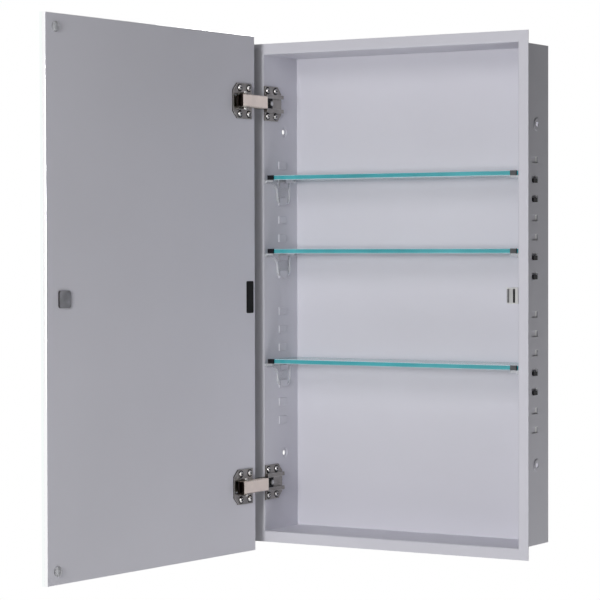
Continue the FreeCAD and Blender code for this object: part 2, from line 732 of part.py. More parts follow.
make_body_wrap()
for name, side in SIDES.items():
    make_side_panel(name + "_side_panel", side)
for level, row in SHELF_ROWS.items():
    make_shelf(level + "_glass_shelf", row)
    for name, side in SIDES.items():
        make_bracket(f"{level}_{name}_shelf_bracket", side, row)
make_catch()
for level, rise in HINGE_RISES.items():
    make_wall_plate(level + "_hinge_wall_plate", rise)
    make_slide(level + "_hinge_slide", rise)
    make_stop_pin(level + "_hinge_stop_pin", rise)
    make_arm(level + "_hinge_arm", rise)
    make_door_plate(level + "_hinge_door_plate", rise)
    make_pivot_pin(level + "_hinge_pivot_pin", rise)
make_mirror()
make_door_pan()
make_bond_strip("hinge_side_bond_strip", on_door("Sizes.bond_inset"))
make_bond_strip("middle_bond_strip", on_door("(Sizes.door_width - Sizes.bond_width) / 2"))
make_bond_strip("free_side_bond_strip", on_door("(Sizes.door_width - Sizes.bond_inset - Sizes.bond_width)"))
make_strike()
for level, end in ENDS.items():
    make_bumper(level + "_door_bumper", end)

doc.recompute()
for item in doc.Objects:
    if "Invalid" in item.State or "Error" in item.State:
        raise RuntimeError(item.Label + " did not build")
for node in nodes:
    if node.Shape.isNull() or not node.Shape.isValid() or len(node.Shape.Solids) != 1:
        raise RuntimeError(node.Label + " is not one valid solid")

os.makedirs("parts", exist_ok=True)
for node in nodes:
    node.Shape.exportStep(f"parts/{node.Label}.step")
print(len(nodes), "nodes written")
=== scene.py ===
# Recessed steel medicine cabinet: finishes, hinge screws, soft bumpers, bare label plate, light and camera.
# Metres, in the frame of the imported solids: +X right, +Y into the wall, +Z up.
import json
import math

import bmesh
import bpy
from mathutils import Matrix, Vector


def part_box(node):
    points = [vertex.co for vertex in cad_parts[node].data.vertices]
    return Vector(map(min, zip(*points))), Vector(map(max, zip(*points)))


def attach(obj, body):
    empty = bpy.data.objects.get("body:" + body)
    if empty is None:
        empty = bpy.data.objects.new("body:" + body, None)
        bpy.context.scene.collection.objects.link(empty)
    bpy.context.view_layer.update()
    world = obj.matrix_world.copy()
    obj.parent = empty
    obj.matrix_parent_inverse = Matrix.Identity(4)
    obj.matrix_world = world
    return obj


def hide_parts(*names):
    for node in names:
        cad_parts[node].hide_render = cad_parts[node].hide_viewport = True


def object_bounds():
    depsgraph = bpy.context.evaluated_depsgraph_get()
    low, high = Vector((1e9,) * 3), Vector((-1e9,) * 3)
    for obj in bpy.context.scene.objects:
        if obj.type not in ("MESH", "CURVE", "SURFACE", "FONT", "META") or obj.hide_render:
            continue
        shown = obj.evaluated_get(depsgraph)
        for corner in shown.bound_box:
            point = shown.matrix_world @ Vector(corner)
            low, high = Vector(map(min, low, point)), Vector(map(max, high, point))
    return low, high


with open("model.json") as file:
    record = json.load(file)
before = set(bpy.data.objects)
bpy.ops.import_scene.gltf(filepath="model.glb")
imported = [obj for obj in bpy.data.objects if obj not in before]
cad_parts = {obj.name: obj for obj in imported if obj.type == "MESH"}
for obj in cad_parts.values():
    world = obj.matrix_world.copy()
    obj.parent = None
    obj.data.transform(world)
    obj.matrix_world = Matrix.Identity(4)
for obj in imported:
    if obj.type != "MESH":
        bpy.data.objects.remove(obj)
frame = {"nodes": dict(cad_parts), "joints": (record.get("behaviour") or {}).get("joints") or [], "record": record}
cad_low, cad_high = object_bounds()

MM = 0.001
X, Y, Z = (1, 0, 0), (0, 1, 0), (0, 0, 1)
QUARTER_TURN = math.pi / 2
LEVELS = ("upper", "lower")
SHELVES = ("upper", "middle", "lower")

# The door at rest: its pin stands PIVOT_HEIGHT off the door's back and PIVOT_INSET from the hinge edge,
# and the back faces DOOR_NORMAL

door_joint = next(joint for joint in frame["joints"] if joint["name"] == "door_swing")
DOOR_OPEN = math.radians(door_joint["range_deg"][1] - door_joint["range_deg"][0])
PIVOT = Vector(door_joint["pos_m"])
PIVOT_HEIGHT = 8 * MM
PIVOT_INSET = 31.4 * MM
DOOR_NORMAL = Vector((math.sin(DOOR_OPEN), math.cos(DOOR_OPEN), 0.0))


def door_matrix(along, off, up):
    # X along the door from the pin, Y off its back, Z up, turned open with the door
    turned = Matrix.Rotation(-DOOR_OPEN, 4, "Z")
    return Matrix.Translation(PIVOT) @ turned @ Matrix.Translation((along, off - PIVOT_HEIGHT, up))


# Node trees. A pair named SPAN or TURN holds the values between which a noise or a mask goes from its low
# to its high end. In a TURN they are cosines, as a face turns away from a direction.

NOISE_SPAN = (0.3, 0.7)
LOW_DETAIL, MIDDLE_DETAIL, HIGH_DETAIL = 2.0, 3.0, 4.0
EDGE_WEAR_AND_LIGHT_TURN = (0.98, 0.8)
BEVEL_SAMPLES = 6


class Shader:
    """A material with a Principled shader, and short calls for the nodes that feed it."""

    def __init__(self, name):
        self.material = bpy.data.materials.new(name)
        self.material.use_nodes = True
        self.nodes = self.material.node_tree.nodes
        self.links = self.material.node_tree.links
        self.surface = self.nodes["Principled BSDF"]
        self.output = self.nodes["Material Output"]
        self.place = self.nodes.new("ShaderNodeTexCoord")

    def set(self, **values):
        for key, value in values.items():
            self.surface.inputs[key.replace("_", " ")].default_value = value

    def feed(self, source, socket):
        self.links.new(source, self.surface.inputs[socket])

    def add(self, kind, **settings):
        node = self.nodes.new("ShaderNode" + kind)
        for key, value in settings.items():
            setattr(node, key, value)
        return node

    def join(self, node, **sources):
        # A key is a socket's name, or an underscore and its number. A source is a socket or a constant.
        for key, source in sources.items():
            socket = node.inputs[int(key[1:])] if key[0] == "_" else node.inputs[key]
            if isinstance(source, bpy.types.NodeSocket):
                self.links.new(source, socket)
            else:
                socket.default_value = source
        return node

    def noise(self, scale, detail=HIGH_DETAIL, stretch=(1, 1, 1)):
        mapping = self.join(self.add("Mapping"), Vector=self.place.outputs["Object"], Scale=stretch)
        node = self.add("TexNoise")
        self.join(node, Vector=mapping.outputs["Vector"], Scale=scale, Detail=detail)
        return node.outputs["Fac"]

    def two_tone(self, noise, low, high):
        # Two colours, over the values that a noise takes
        node = self.join(self.add("ValToRGB"), Fac=noise)
        for element, position, colour in zip(node.color_ramp.elements, NOISE_SPAN, (low, high)):
            element.position = position
            element.color = (*colour, 1.0)
        return node.outputs["Color"]

    def span(self, source, low, high, to_low=0.0, to_high=1.0):
        node = self.join(self.add("MapRange"), Value=source)
        values = {"From Min": low, "From Max": high, "To Min": to_low, "To Max": to_high}
        self.join(node, **values)
        return node.outputs["Result"]

    def spread(self, noise, low, high):
        # Two numbers, over the values that a noise takes
        return self.span(noise, *NOISE_SPAN, low, high)

    def maths(self, operation, first, second=0.0):
        node = self.add("Math", operation=operation)
        self.join(node, _0=first, _1=second)
        return node.outputs["Value"]

    def both(self, first, second):
        return self.maths("MULTIPLY", first, second)

    def either(self, first, second):
        return self.maths("MAXIMUM", first, second)

    def size(self, source):
        return self.maths("ABSOLUTE", source)

    def mix(self, factor, first, second):
        # Inputs 6 and 7 are the colours of this node, and output 2 is the mixed colour
        node = self.add("Mix", data_type="RGBA")
        self.join(node, _0=factor, _6=first, _7=second)
        return node.outputs[2]

    def along(self, direction, kind="Object"):
        # How far the point, or its normal, lies in a fixed direction of the part
        node = self.add("VectorMath", operation="DOT_PRODUCT")
        self.join(node, _0=self.place.outputs[kind], _1=tuple(direction))
        return node.outputs["Value"]

    def facing(self, direction):
        # 1 where a face looks along the direction, either way, and 0 where it looks across it
        return self.size(self.along(direction, "Normal"))

    def within(self, source, centre, reach):
        distance = self.size(self.maths("SUBTRACT", source, centre))
        return self.maths("LESS_THAN", distance, reach)

    def soft_edges(self, radius):
        # Normals that turn smoothly round the edges
        node = self.join(self.add("Bevel", samples=BEVEL_SAMPLES), Radius=radius)
        return node.outputs["Normal"]

    def edge_wear_and_painted_light(self, edges):
        # High where the softened normal leaves the face's own, which is along the edges. There an edge colour is
        # painted that stands for wear and for painted highlight and shade.
        node = self.add("VectorMath", operation="DOT_PRODUCT")
        self.join(node, _0=edges, _1=self.add("NewGeometry").outputs["Normal"])
        return self.span(node.outputs["Value"], *EDGE_WEAR_AND_LIGHT_TURN)

    def relief(self, height, strength, distance, edges):
        node = self.add("Bump")
        self.join(node, Strength=strength, Distance=distance, Height=height, Normal=edges)
        self.feed(node.outputs["Normal"], "Normal")


def shade(light, tint=(1.0, 1.0, 1.0)):
    return tuple(light * part for part in tint)


# Enamel of the box and of the door's back

PAINT_TINT = (1.0, 0.992, 1.08)
PAINT_LIGHT = 0.70
PAINT_CLOUD = (0.975, 1.02)
PAINT_CLOUD_SCALE = 4.0
PAINT_ROUGHNESS = (0.38, 0.48)
PAINT_ROUGHNESS_SCALE = 60.0
PAINT_GLOSS = 0.2
PAINT_EDGE = 0.6 * MM
PEEL_SCALE = 900.0
PEEL_STRENGTH = 0.12
PEEL_DEPTH = 0.2 * MM
PAN_RIM_STEEL = (0.95, 0.955, 0.96)
PAN_RIM_TURN = (0.9, 0.6)
PAN_RIM_POLISH = 0.2

ROWS_EACH_WAY = 7
ROW_PITCH = 23.8 * MM
MIDDLE_ROW = (ROWS_EACH_WAY + 1) / 2 * ROW_PITCH
ROWS_REACH = ROWS_EACH_WAY / 2 * ROW_PITCH
ROW_SETBACK = 44.1 * MM
ROW_RIM_REACH = 5.6 * MM
ROW_RIM_WIDTH = 4.4 * MM
ROW_RIM_RISE = 4.2 * MM
# Colour of the highlight painted on the knock-outs' rear rims
ROW_RIM_HIGHLIGHT = 0.95
RECESS_FLOOR = 182.1 * MM
MASK_MARGIN = 0.1 * MM


def near_row(shader, reach):
    # The rows of knock-outs and brackets are evenly spaced above and below the middle
    return shader.maths("LESS_THAN", shader.maths("PINGPONG", shader.along(Z), ROW_PITCH / 2), reach)


def row_rim_highlights(paint):
    # The rear rim of each knock-out outside the box, painted lighter as a highlight
    outside = paint.maths("GREATER_THAN", paint.size(paint.along(X)), RECESS_FLOOR)
    outward = paint.maths("MULTIPLY", paint.along(X), paint.along(X, "Normal"))
    shown = paint.both(outside, paint.maths("GREATER_THAN", outward, -MASK_MARGIN))
    rear = paint.within(paint.along(Y), ROW_SETBACK + ROW_RIM_REACH, ROW_RIM_WIDTH / 2)
    among = paint.within(paint.size(paint.along(Z)), MIDDLE_ROW, ROWS_REACH)
    row = paint.both(among, near_row(paint, ROW_RIM_RISE))
    return paint.both(shown, paint.both(rear, row))


def enamel(name):
    # Baked enamel: faint clouding, a fine orange-peel surface and a satin sheen
    paint = Shader(name)
    deep, pale = (shade(PAINT_LIGHT * share, PAINT_TINT) for share in PAINT_CLOUD)
    colour = paint.two_tone(paint.noise(PAINT_CLOUD_SCALE), deep, pale)
    sheen = paint.spread(paint.noise(PAINT_ROUGHNESS_SCALE), *PAINT_ROUGHNESS)
    peel = paint.noise(PEEL_SCALE, LOW_DETAIL)
    paint.relief(peel, PEEL_STRENGTH, PEEL_DEPTH, paint.soft_edges(PAINT_EDGE))
    paint.set(Specular_IOR_Level=PAINT_GLOSS)
    return paint, colour, sheen


def box_enamel():
    paint, colour, sheen = enamel("white_enamel")
    # A highlight painted on the rear rims of the knock-outs
    bright = (*shade(ROW_RIM_HIGHLIGHT), 1.0)
    paint.feed(paint.mix(row_rim_highlights(paint), colour, bright), "Base Color")
    paint.feed(sheen, "Roughness")
    return paint.material


def door_enamel():
    # The rim of the pan is bare polished steel
    paint, colour, sheen = enamel("door_enamel")
    rim = paint.span(paint.facing(DOOR_NORMAL), *PAN_RIM_TURN)
    polish = paint.span(rim, 0.0, 1.0, 1.0, PAN_RIM_POLISH)
    paint.feed(paint.mix(rim, colour, (*PAN_RIM_STEEL, 1.0)), "Base Color")
    paint.feed(rim, "Metallic")
    paint.feed(paint.maths("MULTIPLY", sheen, polish), "Roughness")
    return paint.material


# Steel

# The first three are dark colours painted as shade: in the arms' tubes and on cut edges, along the arms' edges,
# and along the strike's edges
PAINTED_SHADE_DARK = (0.018, 0.013, 0.011)
ARM_EDGE_SHADE = (0.20, 0.15, 0.12)
STRIKE_EDGE_SHADE = (0.09, 0.09, 0.10)
NICKEL = (0.335, 0.32, 0.30)
WARM_NICKEL = (0.95, 0.84, 0.73)
PIN_GREY = (0.50, 0.50, 0.50)
POLE_GREY = (0.16, 0.16, 0.17)
BLACKENED = (0.012, 0.012, 0.014)
BRIGHT = (0.80, 0.80, 0.79)
SCREW_GREY = (0.60, 0.59, 0.58)
STRIKE_GREY = (0.25, 0.25, 0.265)

PLATED_EDGE = 0.7 * MM
PATCH_SCALE = 70.0
STREAK_SCALE = 220.0
STREAK_STRENGTH = 0.1
STREAK_DEPTH = 0.05 * MM
STREAK_SMOOTH, STREAK_ROUGH = 0.8, 1.25
ARM_WALL = 1.5 * MM
ARM_END_SPAN = (-0.8, -0.95)
SHADED_EDGE_TURN = (0.85, 0.6)
SHADED_EDGE_SHARE = 0.85


def rubbed_and_highlighted(colour, share):
    # Brighter, as plating is along the edges that are handled, and as a painted highlight there
    return tuple(part + (1 - part) * share for part in colour)


def plated(name, colour, edge_colour, roughness, stretch, patchy, dark_shade_mask=None):
    # Plated steel: drawn streaks along the piece, slight patches, and edges with a colour of their own, lighter
    # for handling wear and a painted highlight, darker for painted shade.
    # Where the last mask is high the steel is painted dark, as shade.
    metal = Shader(name)
    edges = metal.soft_edges(PLATED_EDGE)
    streaks = metal.noise(STREAK_SCALE, MIDDLE_DETAIL, stretch)
    patches = metal.noise(PATCH_SCALE, MIDDLE_DETAIL)
    tone = metal.two_tone(patches, shade(1 - patchy, colour), colour)
    tone = metal.mix(metal.edge_wear_and_painted_light(edges), tone, (*edge_colour, 1.0))
    if dark_shade_mask is not None:
        tone = metal.mix(dark_shade_mask(metal), tone, (*PAINTED_SHADE_DARK, 1.0))
    metal.feed(tone, "Base Color")
    metal.feed(metal.spread(streaks, roughness * STREAK_SMOOTH, roughness * STREAK_ROUGH), "Roughness")
    metal.relief(streaks, STREAK_STRENGTH, STREAK_DEPTH, edges)
    metal.set(Metallic=1.0)
    return metal.material


def arm_inside(metal):
    # The inner faces and open front ends of the square tubes, painted dark as the shade in them. One is as high as
    # the other is low
    low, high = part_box("upper_hinge_arm")
    middle = (low + high) / 2
    room = (high - low) / 2
    across = metal.within(metal.along(X), middle.x, room.x - ARM_WALL + MASK_MARGIN)
    up = metal.within(metal.size(metal.along(Z)), middle.z, room.z - ARM_WALL + MASK_MARGIN)
    open_end = metal.span(metal.along(Y, "Normal"), *ARM_END_SPAN)
    return metal.either(metal.both(across, up), open_end)


def shaded_plate_edges(metal):
    # The cut edges of the hinge plates and the strike, stamped from sheet and painted dark as the shade along
    # them.
    # Their broad faces look along X at rest, or nearly.
    return metal.span(metal.facing(X), *SHADED_EDGE_TURN, 0.0, SHADED_EDGE_SHARE)


# Plastic and glass

MOULDED_CLOUD_SCALE = 90.0
MOULDED_EDGE = 0.3 * MM
MOULDED_ROUGHNESS = 0.42
GRAIN_SCALE = 1500.0
GRAIN_STRENGTH = 0.1
GRAIN_DEPTH = 0.1 * MM

GLASS_TINT = (0.90, 0.98, 0.97)
GLASS_IOR = 1.5
GLASS_HAZE = 0.04
GLASS_ROUGHNESS = (0.0, 0.04)
GLASS_ROUGHNESS_SCALE = 40.0
GLASS_EDGE_TURN = (0.9, 0.8)
EDGE_DEEP = (0.040, 0.35, 0.40)
EDGE_PALE = (0.075, 0.47, 0.53)
EDGE_CLOUD_SCALE = 18.0
EDGE_CLOUD_STRETCH = (1, 1, 0.2)
EDGE_TRANSMISSION = 0.06
# Colour of the highlight painted on the glass's chamfers
CHAMFER_HIGHLIGHT = (0.70, 0.92, 0.98)
CHAMFER_SLOPE = math.sqrt(0.5)
CHAMFER_REACH = 0.15

SILVER_DEEP = (0.795, 0.825, 0.825)
SILVER_PALE = (0.805, 0.835, 0.835)
SILVER_WISP_SCALE = 25.0
SILVER_ROUGHNESS = 0.012
MIRROR_EDGE = (0.93, 0.965, 0.955)
MIRROR_EDGE_ROUGHNESS = 0.06

PLASTIC_DEEP = (0.76, 0.78, 0.80)
PLASTIC_PALE = (0.88, 0.90, 0.92)
PLASTIC_FLOW_SCALE = 80.0
PLASTIC_TURN = (0.95, 0.6)
PLASTIC_COVER = (0.10, 0.42)
PLASTIC_ROUGHNESS = (0.08, 0.2)
PLASTIC_ROUGHNESS_SCALE = 300.0
PLASTIC_IOR = 1.49
# Shade painted along a bumper's rim
RIM_PAINTED_SHADE = (0.12, 0.12, 0.13)
RIM_PAINTED_SHADE_TURN = (0.6, 0.2)
MILKY_COVER = 0.94
# Black painted as shade on the brackets' front stops and hook tips
STOP_PAINTED_SHADE = (0.012, 0.012, 0.016)
STOP_BLEND = 0.2 * MM
STOP_THINNED = 0.84
ROOT_REACH = 9.2 * MM
ROOT_RISE = 5.0 * MM
HOOK_SHOWN = 2.2 * MM
HOOK_DARK_REACH = 5.0 * MM


def moulded(name, light, dark_share, gloss=0.5):
    # Moulded plastic with a fine spark-eroded grain
    plastic = Shader(name)
    cloud = plastic.noise(MOULDED_CLOUD_SCALE)
    plastic.feed(plastic.two_tone(cloud, shade(light * (1 - dark_share)), shade(light)), "Base Color")
    grain = plastic.noise(GRAIN_SCALE, LOW_DETAIL)
    plastic.relief(grain, GRAIN_STRENGTH, GRAIN_DEPTH, plastic.soft_edges(MOULDED_EDGE))
    plastic.set(Roughness=MOULDED_ROUGHNESS, Specular_IOR_Level=gloss)
    return plastic.material


def shelf_glass():
    # Clear across the sheet, blue-green where the polished edge looks into its width, with a highlight painted on
    # the chamfers
    glass = Shader("shelf_glass_finish")
    level = glass.facing(Z)
    edge = glass.span(level, *GLASS_EDGE_TURN)
    cloud = glass.noise(EDGE_CLOUD_SCALE, stretch=EDGE_CLOUD_STRETCH)
    chamfer = glass.within(level, CHAMFER_SLOPE, CHAMFER_REACH)
    tint = glass.mix(chamfer, glass.two_tone(cloud, EDGE_DEEP, EDGE_PALE), (*CHAMFER_HIGHLIGHT, 1.0))
    glass.feed(glass.mix(edge, (*GLASS_TINT, 1.0), tint), "Base Color")
    glass.feed(glass.span(edge, 0.0, 1.0, 1.0, EDGE_TRANSMISSION), "Transmission Weight")
    glass.feed(glass.spread(glass.noise(GLASS_ROUGHNESS_SCALE), *GLASS_ROUGHNESS), "Roughness")
    gloss = glass.join(glass.add("Fresnel"), IOR=GLASS_IOR).outputs["Fac"]
    glass.feed(glass.either(edge, glass.maths("ADD", gloss, GLASS_HAZE)), "Alpha")
    glass.set(IOR=GLASS_IOR)
    return glass.material


def silvered_mirror():
    # Silvered behind its broad face, bright along the polished edge
    glass = Shader("mirror_finish")
    wisps = glass.noise(SILVER_WISP_SCALE, MIDDLE_DETAIL)
    face = glass.two_tone(wisps, SILVER_DEEP, SILVER_PALE)
    edge = glass.span(glass.facing(DOOR_NORMAL), *GLASS_EDGE_TURN)
    glass.feed(glass.mix(edge, face, (*MIRROR_EDGE, 1.0)), "Base Color")
    glass.feed(glass.span(edge, 0.0, 1.0, SILVER_ROUGHNESS, MIRROR_EDGE_ROUGHNESS), "Roughness")
    glass.set(Metallic=1.0)
    return glass.material


def clear_plastic(name, face_axis, gloss, rim_painted_shade=0.0, milky_mask=None, black_shade_mask=None):
    # Clear moulding: see-through on its broad faces, frosted along the edges, with a rim painted darker as shade
    # where the rim share is set.
    # Where the first mask is high it is milky, and where the second is high it is painted black, as the shade that
    # a thick clear end shows.
    plastic = Shader(name)
    flow = plastic.noise(PLASTIC_FLOW_SCALE, MIDDLE_DETAIL)
    colour = plastic.two_tone(flow, PLASTIC_DEEP, PLASTIC_PALE)
    facing = plastic.facing(face_axis)
    cover = plastic.span(facing, *PLASTIC_TURN, *PLASTIC_COVER)
    rim = plastic.span(facing, *RIM_PAINTED_SHADE_TURN, 0.0, rim_painted_shade)
    colour = plastic.mix(rim, colour, (*RIM_PAINTED_SHADE, 1.0))
    if milky_mask is not None:
        milky = milky_mask(plastic)
        colour = plastic.mix(milky, colour, (*shade(PAINT_LIGHT, PAINT_TINT), 1.0))
        cover = plastic.either(cover, plastic.maths("MULTIPLY", milky, MILKY_COVER))
    if black_shade_mask is not None:
        dark = black_shade_mask(plastic)
        colour = plastic.mix(dark, colour, (*STOP_PAINTED_SHADE, 1.0))
        cover = plastic.either(cover, dark)
    plastic.feed(colour, "Base Color")
    plastic.feed(cover, "Alpha")
    plastic.feed(plastic.spread(plastic.noise(PLASTIC_ROUGHNESS_SCALE), *PLASTIC_ROUGHNESS), "Roughness")
    plastic.set(IOR=PLASTIC_IOR, Specular_IOR_Level=gloss)
    return plastic.material


def hook_tips(plastic):
    # What stands outside the box
    outside = abs(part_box("upper_left_shelf_bracket")[0].x) - HOOK_SHOWN
    return plastic.span(plastic.size(plastic.along(X)), outside, outside + STOP_BLEND)


def bracket_milky_mask(plastic):
    # Round the hooks, inside and outside the box
    beside = plastic.within(plastic.along(Y), ROW_SETBACK, ROOT_REACH)
    root = plastic.both(near_row(plastic, ROOT_RISE), beside)
    return plastic.either(root, hook_tips(plastic))


def bracket_black_shade_mask(plastic):
    # The front stops before the glass, as high as the glass, and the front part of the hook tips, painted black as
    # shade
    level = 0.0
    for shelf in SHELVES:
        low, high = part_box(shelf + "_glass_shelf")
        beside = plastic.within(plastic.along(Z), (low.z + high.z) / 2, (high.z - low.z) / 2)
        level = plastic.either(beside, level)
    stop = plastic.both(plastic.span(plastic.along(Y), low.y, low.y - STOP_BLEND), level)
    stop = plastic.both(stop, plastic.span(plastic.along(X), low.x, high.x, 1.0, STOP_THINNED))
    before = plastic.maths("LESS_THAN", plastic.along(Y), ROW_SETBACK + HOOK_DARK_REACH)
    return plastic.either(stop, plastic.both(hook_tips(plastic), before))


# Which piece has which finish

# Lighter edge colours stand for handling wear and a painted highlight; the dark edges of the arm and the strike,
# and the dark masks, are painted shade
nickel_plate = plated(
    "nickel_plate_finish", NICKEL, rubbed_and_highlighted(NICKEL, 0.7),
    roughness=0.34, stretch=(1, 0.05, 1), patchy=0.3, dark_shade_mask=shaded_plate_edges)
warm_nickel = plated(
    "warm_nickel_finish", WARM_NICKEL, ARM_EDGE_SHADE,
    roughness=0.33, stretch=(1, 0.04, 1), patchy=0.08, dark_shade_mask=arm_inside)
# Blackened steel of the slides; it also paints shade on the screws and on the catch's right pole
black_steel_and_shade = plated(
    "black_steel_finish", BLACKENED, rubbed_and_highlighted(BLACKENED, 0.02),
    roughness=0.45, stretch=(1, 0.1, 1), patchy=0.3)
bright_steel = plated(
    "bright_steel_finish", BRIGHT, rubbed_and_highlighted(BRIGHT, 0.5),
    roughness=0.22, stretch=(1, 1, 0.1), patchy=0.1)
screw_steel = plated(
    "screw_finish", SCREW_GREY, rubbed_and_highlighted(SCREW_GREY, 0.8),
    roughness=0.26, stretch=(1, 1, 1), patchy=0.25)
strike_steel = plated(
    "strike_finish", STRIKE_GREY, STRIKE_EDGE_SHADE,
    roughness=0.36, stretch=(1, 1, 0.06), patchy=0.4, dark_shade_mask=shaded_plate_edges)
pole_steel = plated(
    "pole_finish", POLE_GREY, rubbed_and_highlighted(POLE_GREY, 0.1),
    roughness=0.4, stretch=(1, 1, 0.1), patchy=0.2)
pin_steel = plated(
    "pin_finish", PIN_GREY, PIN_GREY,
    roughness=0.3, stretch=(1, 1, 1), patchy=0.15)
label_black = moulded("label_finish", light=0.01, dark_share=0.3, gloss=0.08)
bracket_plastic = clear_plastic(
    "bracket_plastic", X, gloss=0.05, milky_mask=bracket_milky_mask, black_shade_mask=bracket_black_shade_mask)

FINISHES = {
    "white_paint": box_enamel(),
    "mirror": silvered_mirror(),
    "shelf_glass": shelf_glass(),
    "clear_plastic": bracket_plastic,
    # The bumpers' rims are painted darker, as shade
    "clear_bumper": clear_plastic("bumper_plastic", DOOR_NORMAL, gloss=1.0, rim_painted_shade=0.5),
    "nickel_plate": nickel_plate,
    "nickel_arm": warm_nickel,
    "dark_steel": black_steel_and_shade,
    "bright_steel": bright_steel,
    "catch_plastic": moulded("catch_plastic_finish", light=0.66, dark_share=0.06),
    "magnet": moulded("magnet_finish", light=0.58, dark_share=0.12),
    # The catch's two poles are one steel: the right one is painted black as shade, the left one a lighter grey
    "pole_steel": black_steel_and_shade,
    "bond_foam": moulded("bond_foam_finish", light=0.55, dark_share=0.15),
}
NODE_FINISHES = {
    "door_back_panel": door_enamel(),
    "strike_plate": strike_steel,
    "catch_left_pole": pole_steel,
    "upper_hinge_stop_pin": pin_steel,
    "lower_hinge_stop_pin": pin_steel,
}


def finish_nodes():
    for part in frame["record"]["subparts"]:
        name = part["node"]
        materials = frame["nodes"][name].data.materials
        materials.clear()
        materials.append(NODE_FINISHES.get(name, FINISHES[part["material_slot"]]))


finish_nodes()


# Meshes, and turned pieces that stand up along Z until they are faced another way

FACING_X = Matrix.Rotation(QUARTER_TURN, 4, "Y")
FACING_Y = Matrix.Rotation(-QUARTER_TURN, 4, "X")


def mesh_object(name, build):
    mesh = bmesh.new()
    build(mesh)
    bmesh.ops.recalc_face_normals(mesh, faces=mesh.faces)
    data = bpy.data.meshes.new(name)
    mesh.to_mesh(data)
    mesh.free()
    piece = bpy.data.objects.new(name, data)
    bpy.context.scene.collection.objects.link(piece)
    return piece


def spin_profile(mesh, profile, segments):
    # A profile of (radius, height) points turned about Z
    rings = []
    for radius, height in profile:
        if radius == 0:
            rings.append([mesh.verts.new((0, 0, height))])
            continue
        angles = (2 * math.pi * i / segments for i in range(segments))
        rings.append([mesh.verts.new((radius * math.cos(a), radius * math.sin(a), height)) for a in angles])
    for lower, upper in zip(rings, rings[1:]):
        for i in range(segments):
            j = (i + 1) % segments
            if len(lower) == 1:
                mesh.faces.new((lower[0], upper[j], upper[i]))
            elif len(upper) == 1:
                mesh.faces.new((lower[i], lower[j], upper[0]))
            else:
                mesh.faces.new((lower[i], lower[j], upper[j], upper[i]))


# Screws of the hinge plates: pan heads with a cross recess painted dark as shade, on black rings that stand for
# the shade round each head

SCREW_RADIUS = 3.4 * MM
SCREW_HEIGHT = 2.1 * MM
SHANK_RADIUS = 1.9 * MM
SHANK_LENGTH = 1.4 * MM
# A black ring under each head, painted as the shade round it
SHADE_RING_RADIUS = 4.8 * MM
SHADE_RING_HEIGHT = 0.35 * MM
RECESS_ARM = 2.3 * MM
RECESS_WIDTH = 1.4 * MM
RECESS_DEPTH = 1.4 * MM
RECESS_TOP = 1.2
RECESS_ARM_TAPER = 0.45
RECESS_WIDTH_TAPER = 0.8
SCREW_SEGMENTS = 32
DOME_STEPS = 6
DOME_RISE_POWER = 1.1
DOME_ROUND_POWER = 0.6
HEAD_SLOT, SHADE_SLOT = 0, 1

PLATE_THICKNESS = 1.5 * MM
DOOR_PLATE_LEAD = 23.4 * MM
SCREW_LEAD = 6.5 * MM
SCREW_SPACING = 19 * MM
SCREW_RISE = 33 * MM
SCREW_CORNERS = ((0, -1), (0, 1), (1, -1), (1, 1))
SCREW_TURNS = (20, 65, 110, 5)


def screw_profile():
    foot = [
        (0.0, -SHANK_LENGTH), (SHANK_RADIUS, -SHANK_LENGTH), (SHANK_RADIUS, 0.0),
        (SHADE_RING_RADIUS, 0.0), (SHADE_RING_RADIUS, SHADE_RING_HEIGHT), (SCREW_RADIUS, SHADE_RING_HEIGHT),
    ]
    dome = []
    for i in range(1, DOME_STEPS):
        angle = QUARTER_TURN * i / DOME_STEPS
        rise = (SCREW_HEIGHT - SHADE_RING_HEIGHT) * math.sin(angle) ** DOME_RISE_POWER
        dome.append((SCREW_RADIUS * math.cos(angle) ** DOME_ROUND_POWER, SHADE_RING_HEIGHT + rise))
    return [*foot, *dome, (0.0, SCREW_HEIGHT)]


def build_screw(mesh):
    spin_profile(mesh, screw_profile(), SCREW_SEGMENTS)
    for face in mesh.faces:
        beyond_head = all(vert.co.xy.length > SCREW_RADIUS - MASK_MARGIN for vert in face.verts)
        low = max(vert.co.z for vert in face.verts) <= SHADE_RING_HEIGHT
        face.material_index = SHADE_SLOT if beyond_head and low else HEAD_SLOT


def build_recess(mesh):
    # A cross of two tapered bars, shorter and narrower towards its point, painted dark as the shade in the recess
    top, bottom = SCREW_HEIGHT * RECESS_TOP, SCREW_HEIGHT - RECESS_DEPTH
    for bar in range(2):
        turn = Matrix.Rotation(bar * QUARTER_TURN, 4, "Z")
        for vert in bmesh.ops.create_cube(mesh, size=1.0)["verts"]:
            upper = vert.co.z > 0
            x = math.copysign(RECESS_ARM * (1.0 if upper else RECESS_ARM_TAPER), vert.co.x)
            y = math.copysign(RECESS_WIDTH / 2 * (1.0 if upper else RECESS_WIDTH_TAPER), vert.co.y)
            vert.co = turn @ Vector((x, y, top if upper else bottom))
    for face in mesh.faces:
        face.material_index = SHADE_SLOT


def make_screw_mesh():
    head = mesh_object("screw_head", build_screw)
    cutter = mesh_object("screw_recess", build_recess)
    for piece in (head, cutter):
        piece.data.materials.append(screw_steel)
        piece.data.materials.append(black_steel_and_shade)
    cut = head.modifiers.new("recess", "BOOLEAN")
    cut.object = cutter
    cut.solver = "EXACT"
    cut.use_self = True
    graph = bpy.context.evaluated_depsgraph_get()
    data = bpy.data.meshes.new_from_object(head.evaluated_get(graph))
    bpy.data.objects.remove(cutter)
    bpy.data.objects.remove(head)
    return data


screw_mesh = make_screw_mesh()


def add_screw(name, place, body):
    screw = bpy.data.objects.new(name, screw_mesh)
    bpy.context.scene.collection.objects.link(screw)
    screw.matrix_world = place
    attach(screw, body)


